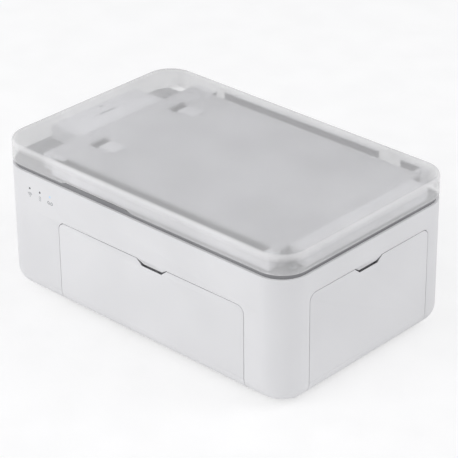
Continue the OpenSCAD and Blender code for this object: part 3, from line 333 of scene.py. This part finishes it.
MATERIALS.update({
    "circuit_board": circuit_board("solder_mask_green"),
    "light_pipe": light_pipe("clear_acrylic"),
    "photo_paper": sheet_stack("coated_photo_paper", "dcdcd8", "f2f2ee", 0.25),
    "ribbon_film": sheet_stack("dyed_film", "6b4a1e", "8a6430", 0.4),
    "head_ceramic": moulded("glazed_ceramic", "2b2b2f", "36363b", 0.2, 0.004, **{"IOR": 1.6}),
})

# %% Give each node its finish
OWN_FINISH = {"cassette_base": "cassette_tub"}
for row in frame["record"]["subparts"]:
    mesh = NODES[row["node"]].data
    mesh.materials.clear()
    mesh.materials.append(MATERIALS[OWN_FINISH.get(row["node"], row["material_slot"])])

# %% [markdown]
# ## Rounded edges
# A mould never leaves a knife edge: every outer edge of a moulded part has a small radius
# that catches the light. The CAD nodes have sharp edges there, so the parts that show are
# copied and their triangles are merged into faces. Then the sharp edges that lie where the
# eye can reach are chosen and bevelled.

# %% Helpers that copy a node and round its edges
def only(piece):
    bpy.ops.object.select_all(action="DESELECT")
    piece.select_set(True)
    bpy.context.view_layer.objects.active = piece


def stands_for(piece, node):
    """The piece moves with the node's body, takes its finish and is shown in its place."""
    if not piece.data.materials:
        piece.data.materials.append(NODES[node].data.materials[0])
    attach(piece, BODY_OF[node])
    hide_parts(node)
    return piece


def merged_copy(node):
    piece = bpy.data.objects.new(node + "_rounded", NODES[node].data.copy())
    bpy.context.scene.collection.objects.link(piece)
    only(piece)
    bpy.ops.object.mode_set(mode="EDIT")
    bpy.ops.mesh.select_mode(type="VERT")
    bpy.ops.mesh.select_all(action="SELECT")
    bpy.ops.mesh.remove_doubles(threshold=0.002 * MM)
    bpy.ops.mesh.dissolve_limited(angle_limit=math.radians(0.2))
    bpy.ops.object.mode_set(mode="OBJECT")
    return stands_for(piece, node)


def round_edges(piece, radius, keep=None, sharp=40, segments=2):
    """Bevels the edges sharper than `sharp` degrees. With `keep`, only those whose middle,
    in millimetres, passes that test."""
    only(piece)
    bpy.ops.object.mode_set(mode="EDIT")
    bpy.ops.mesh.select_mode(type="EDGE")
    bpy.ops.mesh.select_all(action="DESELECT")
    bpy.ops.mesh.edges_select_sharp(sharpness=math.radians(sharp))
    bpy.ops.object.mode_set(mode="OBJECT")
    points = piece.data.vertices
    chosen = 0
    for edge in piece.data.edges:
        a, b = (points[i].co for i in edge.vertices)
        if edge.select and keep and not keep(*((a + b) / 2 / MM)):
            edge.select = False
        chosen += edge.select
    for polygon in piece.data.polygons:
        polygon.select = False
    for point in points:
        point.select = False
    bpy.ops.object.mode_set(mode="EDIT")
    bpy.ops.mesh.bevel(offset=radius * MM, segments=segments, affect="EDGES", clamp_overlap=False)
    bpy.ops.object.mode_set(mode="OBJECT")
    only(piece)
    bpy.ops.object.shade_smooth_by_angle(angle=math.radians(30))
    print("rounded:", piece.name, "edges:", chosen, "faces:", len(piece.data.polygons))
    return piece

# %% [markdown]
# ## Finger notches in the doors
# Each door has a shallow notch in its upper edge, where a nail pulls it open. A tongue of
# the body fills the notch. Its face slopes back towards its lower edge, and the door's edge
# is thinned from behind, so a dark gap shows below the tongue. Both shapes come from moving
# a few corner points: the tongue's lower corners go inwards, and the door's inner ones down.

# %% Helpers that shape the notches
WALL = 2.2
NEAR = 0.01


def by_wall(across, first, second):
    """Swaps x and y for a wall that faces along y, so that one rule serves both doors."""
    return (second, first) if across == "y" else (first, second)


def move_points(piece, chosen, move):
    """Moves the points that pass a test: both are in millimetres."""
    only(piece)
    bpy.ops.object.mode_set(mode="EDIT")
    bpy.ops.mesh.select_mode(type="VERT")
    bpy.ops.mesh.select_all(action="DESELECT")
    bpy.ops.object.mode_set(mode="OBJECT")
    count = 0
    for point in piece.data.vertices:
        point.select = bool(chosen(*(point.co / MM)))
        count += point.select
    bpy.ops.object.mode_set(mode="EDIT")
    bpy.ops.transform.translate(value=[v * MM for v in move])
    bpy.ops.object.mode_set(mode="OBJECT")
    print("moved points:", piece.name, count)


def set_back(piece, across, face, middle, top, low, depth, near):
    """Creases the body's face at the notch's top edge, pushes the tongue's lower corners in,
    and brings its `near` flank up to the door's, with only the seam between them."""
    only(piece)
    for polygon in piece.data.polygons:
        corners = [getattr(piece.data.vertices[i].co, across) / MM for i in polygon.vertices]
        polygon.select = all(abs(corner - face) < NEAR for corner in corners)
    bpy.ops.object.mode_set(mode="EDIT")
    bpy.ops.mesh.select_mode(type="FACE")
    bpy.ops.mesh.bisect(plane_co=(0, 0, top * MM), plane_no=(0, 0, 1))
    bpy.ops.object.mode_set(mode="OBJECT")

    def lower_corner(x, y, z):
        out, along = by_wall(across, x, y)
        return abs(out - face) < NEAR and abs(z - low) < NEAR and abs(along - middle) < 6.2

    def near_flank(x, y, z):
        out, along = by_wall(across, x, y)
        side = (along - middle) * near
        in_wall = abs(out - face) < WALL + NEAR
        return in_wall and low - NEAR < z < top + NEAR and 5.9 < side < 9.6

    move_points(piece, lower_corner, (*by_wall(across, depth, 0), 0))
    move_points(piece, near_flank, (*by_wall(across, 0, 0.5 * near), 0))


def thin_lip(piece, across, inner, middle, top, low, drop):
    """Lowers the inner points of a door's notch, which leaves a thin edge at the front."""
    def inner_corner(x, y, z):
        out, along = by_wall(across, x, y)
        return abs(out - inner) < NEAR and abs(z - low) < NEAR and abs(along - middle) < 6.8

    def upper_corner(side):
        def test(x, y, z):
            out, along = by_wall(across, x, y)
            at_corner = abs(along - middle - side * 10.1) < 0.05
            return abs(out - inner) < NEAR and abs(z - top) < NEAR and at_corner
        return test

    move_points(piece, inner_corner, (0, 0, -drop))
    for side in (-1, 1):
        move_points(piece, upper_corner(side), (*by_wall(across, 0, side * drop), 0))

# %% [markdown]
# ## The shell, the doors, the lid and the deck
# These are the parts that a viewer sees first. The radii stay small, as on the real mould.

# %% Round the shell, the doors, the lid and the deck
(FRONT, BACK), (LEFT, RIGHT) = ((-62.2, 62.2), (-97.3, 97.3))
FRONT_NOTCH_X, FRONT_DOOR_TOP = 10.6, 50.0
SIDE_NOTCH_Y, SIDE_DOOR_TOP = -1.6, 59.1
ROLLED_EDGE_TOP = 11.2
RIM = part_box("body_shell")[1][2] / MM


def on_skin(x, y, z):
    """On one of the body's four outer faces or its upper rim, not inside and not underneath."""
    outside = y < FRONT + 0.1 or y > BACK - 0.1 or x < LEFT + 0.1 or x > RIGHT - 0.1
    beside_lamp = y < FRONT + 0.1 and x < -57 and 60 < z < 65
    return z > ROLLED_EDGE_TOP and (outside or z > RIM - 0.05) and not beside_lamp


body = merged_copy("body_shell")
set_back(body, "y", FRONT, FRONT_NOTCH_X, 50.3, 48.0, 0.7, 1)
set_back(body, "x", RIGHT, SIDE_NOTCH_Y, 59.4, 57.1, -0.7, -1)
round_edges(body, 0.25, on_skin)
front_door = merged_copy("front_door")
thin_lip(front_door, "y", FRONT + WALL, FRONT_NOTCH_X, FRONT_DOOR_TOP, 47.1, 1.4)
round_edges(front_door, 0.2, lambda x, y, z: y < FRONT + 0.1 and z > ROLLED_EDGE_TOP)
side_door = merged_copy("side_door")
thin_lip(side_door, "x", RIGHT - WALL, SIDE_NOTCH_Y, SIDE_DOOR_TOP, 56.2, 1.4)
round_edges(side_door, 0.2, lambda x, y, z: x > RIGHT - 0.1 and z > ROLLED_EDGE_TOP)
round_edges(merged_copy("top_deck"), 0.3, lambda x, y, z: z > 72.9 and y < 55)
lid = round_edges(merged_copy("lid_shell"), 0.3, lambda x, y, z: z < 75.5 and y < 55)
# Light reaches what lies below the milky lid, so the lid casts no shadow here.
lid.visible_shadow = False
round_edges(merged_copy("cassette_cover"), 0.25, lambda x, y, z: z > 81.5)
cassette_frame = round_edges(merged_copy("cassette_frame"), 0.3, lambda x, y, z: z > 81.5)
round_edges(merged_copy("power_button"), 0.5, lambda x, y, z: x < LEFT + 0.1, segments=3)

# %% [markdown]
# ## Painted shade in the door gaps and the troughs
# A thin grey strip behind the notch's gap in each door is painted shade for the dark hollow
# there. Each strip is a thin block with bevelled edges. The faces in the two troughs beside the
# paper cassette get a dark grey that is painted shade for the deep, narrow grooves, so there only
# the finish of their faces changes.

# %% Painted shade in the door gaps
def gap_shade_strip(name, centre, size):
    bpy.ops.object.select_all(action="DESELECT")
    bpy.ops.mesh.primitive_cube_add(size=1.0, location=[v * MM for v in centre])
    shade_strip = bpy.context.active_object
    shade_strip.scale = [v * MM for v in size]
    bpy.ops.object.transform_apply(location=True, rotation=True, scale=True)
    bpy.ops.object.mode_set(mode="EDIT")
    bpy.ops.mesh.select_all(action="SELECT")
    bpy.ops.mesh.bevel(offset=0.03 * MM, segments=1, affect="EDGES")
    bpy.ops.object.mode_set(mode="OBJECT")
    shade_strip.name = name
    shade_strip.data.materials.append(GAP_SHADE_GREY)
    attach(shade_strip, "chassis")
    print("tape:", name)


# A thin grey strip in each door's notch gap is painted shade, standing in for the dark hollow
# there.
GAP_SHADE_GREY = ground_rubber("gap_painted_shade", "88888b", "929295", 0.5)
gap_shade_strip("gap_shade_strip_front", (FRONT_NOTCH_X, FRONT + WALL + 0.25, 46.7), (20.0, 0.1, 3.6))
gap_shade_strip("gap_shade_strip_side", (RIGHT - WALL - 0.25, SIDE_NOTCH_Y, 55.8), (0.1, 20.0, 3.6))

# %% Painted shade in the troughs
def paint_trough_shade(piece, chosen, trough_shade):
    """Gives the faces whose middle passes the test, in millimetres, a second finish: here a dark
    grey, as painted shade.
    """
    piece.data.materials.append(trough_shade)
    count = 0
    for polygon in piece.data.polygons:
        if chosen(*(polygon.center / MM)):
            polygon.material_index = len(piece.data.materials) - 1
            count += 1
    print("shade_painted faces:", piece.name, count)


def in_trough(x, y, z):
    return 52.3 < abs(y) < 58.4 and 74.6 < z < 81.2 and -57 < x < 80.6


# The deep troughs beside the cassette get a dark grey finish on their faces: painted shade.
paint_trough_shade(cassette_frame, in_trough, ground_rubber("trough_painted_shade", "5e5e61", "68686b", 0.5))

# %% [markdown]
# ## Latch tabs on the cassette's cover
# Two white tabs hold the grey cover down. Each is a small, low moulded block with a rounded
# upper rim: a cube, scaled to size, whose top edges are bevelled.

# %% Latch tabs
TAB_X, TAB_Y = -48.8, 28.5


def latch_tab(side):
    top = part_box("cassette_cover")[1][2]
    bpy.ops.object.select_all(action="DESELECT")
    bpy.ops.mesh.primitive_cube_add(
        size=1.0, location=(TAB_X * MM, side * TAB_Y * MM, top - 0.05 * MM))
    tab = bpy.context.active_object
    tab.scale = (11.4 * MM, 9.4 * MM, 0.5 * MM)
    bpy.ops.object.transform_apply(location=True, rotation=True, scale=True)
    for edge in tab.data.edges:
        edge.select = all(tab.data.vertices[i].co.z > top for i in edge.vertices)
    bpy.ops.object.mode_set(mode="EDIT")
    bpy.ops.mesh.select_mode(type="EDGE")
    bpy.ops.mesh.bevel(offset=0.2 * MM, segments=2, affect="EDGES")
    bpy.ops.object.mode_set(mode="OBJECT")
    tab.name = "latch_tab_" + ("back" if side > 0 else "front")
    tab.data.materials.append(MATERIALS["cassette_white"])
    bpy.ops.object.shade_smooth_by_angle(angle=math.radians(30))
    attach(tab, "chassis")
    print("tab:", tab.name)


latch_tab(-1)
latch_tab(1)

# %% [markdown]
# ## Cross-head screws
# The deck, the chassis, the fan and the motor are held by small zinc-plated screws with a
# rounded head and a cross recess. One screw is modelled: a cylinder, its rim bevelled, a
# cross cut out with two crossing boxes, and a plain shank. Its copies stand where the CAD's do.

# %% One screw
def cut_box(target, size, place, turn):
    """Cuts a box out of the target with a Boolean modifier that is applied."""
    bpy.ops.object.select_all(action="DESELECT")
    bpy.ops.mesh.primitive_cube_add(size=1.0, location=place, rotation=(0, 0, turn))
    cutter = bpy.context.active_object
    cutter.scale = size
    bpy.context.view_layer.update()
    only(target)
    cut = target.modifiers.new("cut", "BOOLEAN")
    cut.operation, cut.object, cut.solver = "DIFFERENCE", cutter, "EXACT"
    bpy.ops.object.modifier_apply(modifier=cut.name)
    bpy.data.objects.remove(cutter, do_unlink=True)


def screw_mesh(head_r, head_h, shank_r, shank_l):
    """A screw in metres: the head stands on z = 0 and the shank hangs below."""
    bpy.ops.object.select_all(action="DESELECT")
    bpy.ops.mesh.primitive_cylinder_add(
        vertices=32, radius=head_r, depth=head_h, location=(0, 0, head_h / 2))
    head = bpy.context.active_object
    bpy.ops.object.transform_apply(location=True, rotation=True, scale=True)
    for edge in head.data.edges:
        edge.select = all(head.data.vertices[i].co.z > head_h * 0.9 for i in edge.vertices)
    bpy.ops.object.mode_set(mode="EDIT")
    bpy.ops.mesh.select_mode(type="EDGE")
    bpy.ops.mesh.bevel(offset=head_h * 0.45, segments=4, affect="EDGES")
    bpy.ops.object.mode_set(mode="OBJECT")
    for turn in (0, math.pi / 2):
        cut_box(head, (head_r * 1.15, head_r * 0.3, head_h * 1.2), (0, 0, head_h), turn)
    bpy.ops.object.select_all(action="DESELECT")
    bpy.ops.mesh.primitive_cylinder_add(
        vertices=24, radius=shank_r, depth=shank_l + 0.05 * MM,
        location=(0, 0, 0.05 * MM - shank_l / 2))
    bpy.ops.object.transform_apply(location=True, rotation=True, scale=True)
    head.select_set(True)
    bpy.context.view_layer.objects.active = head
    bpy.ops.object.join()
    bpy.ops.object.shade_smooth_by_angle(angle=math.radians(35))
    return head


def screw_set(node, spots, direction, head_r, head_h, shank_r, shank_l):
    """Copies of one screw, joined: each spot, in millimetres, is where the head sits down."""
    first = screw_mesh(*(v * MM for v in (head_r, head_h, shank_r, shank_l)))
    turn = Vector((0, 0, 1)).rotation_difference(Vector(direction)).to_matrix().to_4x4()
    copies = []
    for spot in spots:
        piece = bpy.data.objects.new("screw", first.data.copy())
        piece.data.transform(Matrix.Translation(Vector(spot) * MM) @ turn)
        bpy.context.scene.collection.objects.link(piece)
        copies.append(piece)
    bpy.data.objects.remove(first, do_unlink=True)
    only(copies[0])
    for piece in copies:
        piece.select_set(True)
    bpy.ops.object.join()
    copies[0].name = node + "_cross_head"
    copies[0].data.materials.clear()
    print("screws:", copies[0].name, "copies:", len(spots))
    return stands_for(copies[0], node)


MOTOR = (-22.408, 31.378)
FAN = (-66.5, 36.0)
DECK_SPOTS = [(x, s * y, 73.0) for x, y in ((-84.0, 48.0), (90.5, 49.0)) for s in (-1, 1)]
screw_set("deck_screws", DECK_SPOTS, (0, 0, 1), 2.4, 1.4, 1.2, 12.0)
screw_set("chassis_screws", [(x, y, 3.6) for x in (-58.4, 74.6) for y in (-24.0, 26.0)],
          (0, 0, -1), 2.4, 1.1, 1.2, 4.0)
screw_set("fan_screws", [(FAN[0] + a, 53.0, FAN[1] + b) for a in (-12, 12) for b in (-12, 12)],
          (0, -1, 0), 2.4, 1.4, 1.2, 8.2)
screw_set("motor_screws", [(-60.9, MOTOR[0], MOTOR[1] + s * 9) for s in (-1, 1)],
          (1, 0, 0), 2.0, 0.8, 1.2, 5.3)

# %% [markdown]
# ## Printed marks below the indicators
# A small grey mark stands below each light. They are plain pictograms, drawn here for this
# part, of a signal, a sheet and a ribbon. Pad-printed ink is only microns thick, so each is
# a flat shape, 0.01 mm proud of the wall: rings and discs from circles, outlines from
# four-cornered rings, and the signal's arcs cut with bisect where they end.

# %% Printed ink and the mark shapes
INK = moulded("pad_printing_ink", "a0a1a4", "a8a9ac", 0.5, 0.002, **{"IOR": 1.5})
MARK_Z = 58.7
INK_T = 0.01
SUNK = 0.1


def flat_shape(outer_r, inner_r, centre, corners=48, stretch=(1, 1), wedge=None):
    """A disc or ring on the front wall; wedge keeps only what lies above two slanting lines."""
    bpy.ops.object.select_all(action="DESELECT")
    x, z = centre
    bpy.ops.mesh.primitive_circle_add(
        vertices=corners, radius=outer_r * MM, fill_type="NGON", location=(0, 0, 0),
        rotation=(0, 0, math.pi / corners))
    piece = bpy.context.active_object
    bpy.ops.object.transform_apply(location=True, rotation=True, scale=True)
    bpy.ops.object.mode_set(mode="EDIT")
    bpy.ops.mesh.select_all(action="SELECT")
    if inner_r:
        bpy.ops.mesh.inset(thickness=(outer_r - inner_r) * MM * math.cos(math.pi / corners))
        bpy.ops.mesh.delete(type="FACE")
    for turn in ((-wedge, wedge) if wedge else ()):
        bpy.ops.mesh.select_all(action="SELECT")
        a = math.radians(turn)
        normal = (math.cos(a) * (1 if turn > 0 else -1), -abs(math.sin(a)), 0)
        bpy.ops.mesh.bisect(plane_co=(0, 0, 0), plane_no=normal, clear_outer=True)
    bpy.ops.mesh.select_all(action="SELECT")
    thickness = (0, 0, (INK_T + SUNK) * MM)
    bpy.ops.mesh.extrude_region_move(TRANSFORM_OT_translate={"value": thickness})
    bpy.ops.object.mode_set(mode="OBJECT")
    widen = Matrix.Diagonal((stretch[0], stretch[1], 1, 1))
    upright = Matrix.Rotation(math.pi / 2, 4, "X")
    stand = Matrix.Translation((x * MM, (FRONT + SUNK) * MM, z * MM)) @ upright
    piece.data.transform(stand @ widen)
    return piece


def mark(name, shapes):
    only(shapes[0])
    for piece in shapes:
        piece.select_set(True)
    bpy.ops.object.join()
    piece = shapes[0]
    bpy.ops.object.mode_set(mode="EDIT")
    bpy.ops.mesh.select_all(action="SELECT")
    bpy.ops.mesh.normals_make_consistent(inside=False)
    bpy.ops.object.mode_set(mode="OBJECT")
    piece.name = name
    piece.data.materials.append(INK)
    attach(piece, "chassis")
    print("mark:", name, "faces:", len(piece.data.polygons))


LAMPS = [-75.7, -68.25, -60.8]
mark("signal_mark", [flat_shape(0.32, 0, (LAMPS[0], MARK_Z - 1.0), 20)] + [
    flat_shape(r, r - 0.34, (LAMPS[0], MARK_Z - 1.0), wedge=48) for r in (1.0, 1.65, 2.3)])
mark("paper_mark", [
    flat_shape(1.35, 1.0, (LAMPS[1], MARK_Z), 4, (0.72, 1.25)),
    flat_shape(0.3, 0, (LAMPS[1], MARK_Z), 20)])
mark("ribbon_mark", [flat_shape(0.9, 0.45, (LAMPS[2] + s * 1.15, MARK_Z)) for s in (-1, 1)] + [
    flat_shape(0.7, 0, (LAMPS[2], MARK_Z - 0.75), 4, (1.6, 0.28))])

# %% [markdown]
# ## Floor, light and camera
# The photo shows the printer on plain white, lit softly from all round, with the front a
# little brighter than the side. A wide floor, a bright sky and three large lamps give that.
# The camera stands where the photo's edges say, more than a metre away with a long lens.

# %% Floor
def seen_or_not(tree, unseen, seen):
    """Shows one shader to the camera, also through the lid, and another to all other rays."""
    path = add(tree, "ShaderNodeLightPath")
    looked_at = maths(tree, "MAXIMUM", path.outputs["Is Camera Ray"],
                      path.outputs["Is Transmission Ray"])
    return add(tree, "ShaderNodeMixShader", {
        0: looked_at, 1: unseen.outputs[0], 2: seen.outputs[0]})


def backdrop_material(name):
    """A matt floor that the camera sees as white, and that keeps the object's soft shadow."""
    material, tree, place = start(name)
    fine = add(tree, "ShaderNodeTexNoise", {"Vector": place, "Scale": 40.0})
    colour = tones(tree, fine.outputs["Fac"], "f0f0f0", "f4f4f4")
    seen_colour = tones(tree, fine.outputs["Fac"], "bcbcbc", "c0c0c0")
    paper = add(tree, "ShaderNodeBsdfDiffuse", {"Color": colour})
    bounce = add(tree, "ShaderNodeEmission", {"Color": linear("ffffff"), "Strength": 0.1})
    matt = add(tree, "ShaderNodeAddShader", {0: paper.outputs[0], 1: bounce.outputs[0]})
    seen_matt = add(tree, "ShaderNodeBsdfDiffuse", {"Color": seen_colour})
    glow = add(tree, "ShaderNodeEmission", {"Color": linear("ffffff"), "Strength": 0.55})
    lifted = add(tree, "ShaderNodeAddShader", {0: seen_matt.outputs[0], 1: glow.outputs[0]})
    return finish_surface(material, tree, seen_or_not(tree, matt, lifted))


bpy.ops.object.select_all(action="DESELECT")
bpy.ops.mesh.primitive_plane_add(size=6.0, location=(0, 0, 0))
floor = bpy.context.active_object
floor.name = "floor"
floor.data.materials.append(backdrop_material("floor_paper"))
print("floor at z =", floor.location.z)

# %% Sky
world = bpy.data.worlds.new("studio")
bpy.context.scene.world = world
world.use_nodes = True
sky = world.node_tree
sky.nodes.clear()
soft = add(sky, "ShaderNodeBackground", {"Color": linear("fcfcff"), "Strength": 0.565})
white = add(sky, "ShaderNodeBackground", {"Color": linear("ffffff"), "Strength": 1.0})
add(sky, "ShaderNodeOutputWorld", {"Surface": seen_or_not(sky, soft, white).outputs[0]})
print("sky strength:", soft.inputs["Strength"].default_value)

# %% Lamps
def softbox(name, place, target, size, power):
    light = bpy.data.lights.new(name, "AREA")
    light.shape = "RECTANGLE"
    light.size, light.size_y = size
    light.energy = power
    lamp = bpy.data.objects.new(name, light)
    bpy.context.scene.collection.objects.link(lamp)
    lamp.location = place
    lamp.rotation_euler = (Vector(target) - Vector(place)).to_track_quat("-Z", "Y").to_euler()
    print("lamp:", name, "power:", power)


softbox("front_softbox", (-0.35, -1.2, 0.8), (0, 0, 0.04), (0.9, 0.7), 4.7)
softbox("left_softbox", (-1.3, -0.5, 0.5), (0, 0, 0.04), (0.6, 0.6), 2.6)
softbox("back_softbox", (0.9, 0.7, 1.0), (0, 0, 0.05), (0.9, 0.9), 4.7)

# %% Camera
CAMERA_PLACE = Vector((0.6605, -0.6997, 0.5599))
YAW, PITCH, ROLL = (math.radians(a) for a in (133.162, -28.33, -0.497))
FOCAL_PIXELS = 2146.4
PHOTO_PIXELS = 458

forward = Vector((
    math.cos(PITCH) * math.cos(YAW), math.cos(PITCH) * math.sin(YAW), math.sin(PITCH)))
level = Vector((math.sin(YAW), -math.cos(YAW), 0.0))
upward = level.cross(forward)
right = level * math.cos(ROLL) + upward * math.sin(ROLL)
top = upward * math.cos(ROLL) - level * math.sin(ROLL)
lens = bpy.data.cameras.new("camera")
lens.sensor_width = 36.0
lens.lens = FOCAL_PIXELS / PHOTO_PIXELS * lens.sensor_width
camera = bpy.data.objects.new("camera", lens)
bpy.context.scene.collection.objects.link(camera)
camera.location = CAMERA_PLACE
camera.rotation_euler = Matrix((right, top, -forward)).transposed().to_euler()
bpy.context.scene.camera = camera
bpy.context.scene.view_settings.view_transform = "Standard"
print("lens in millimetres:", round(lens.lens, 1))
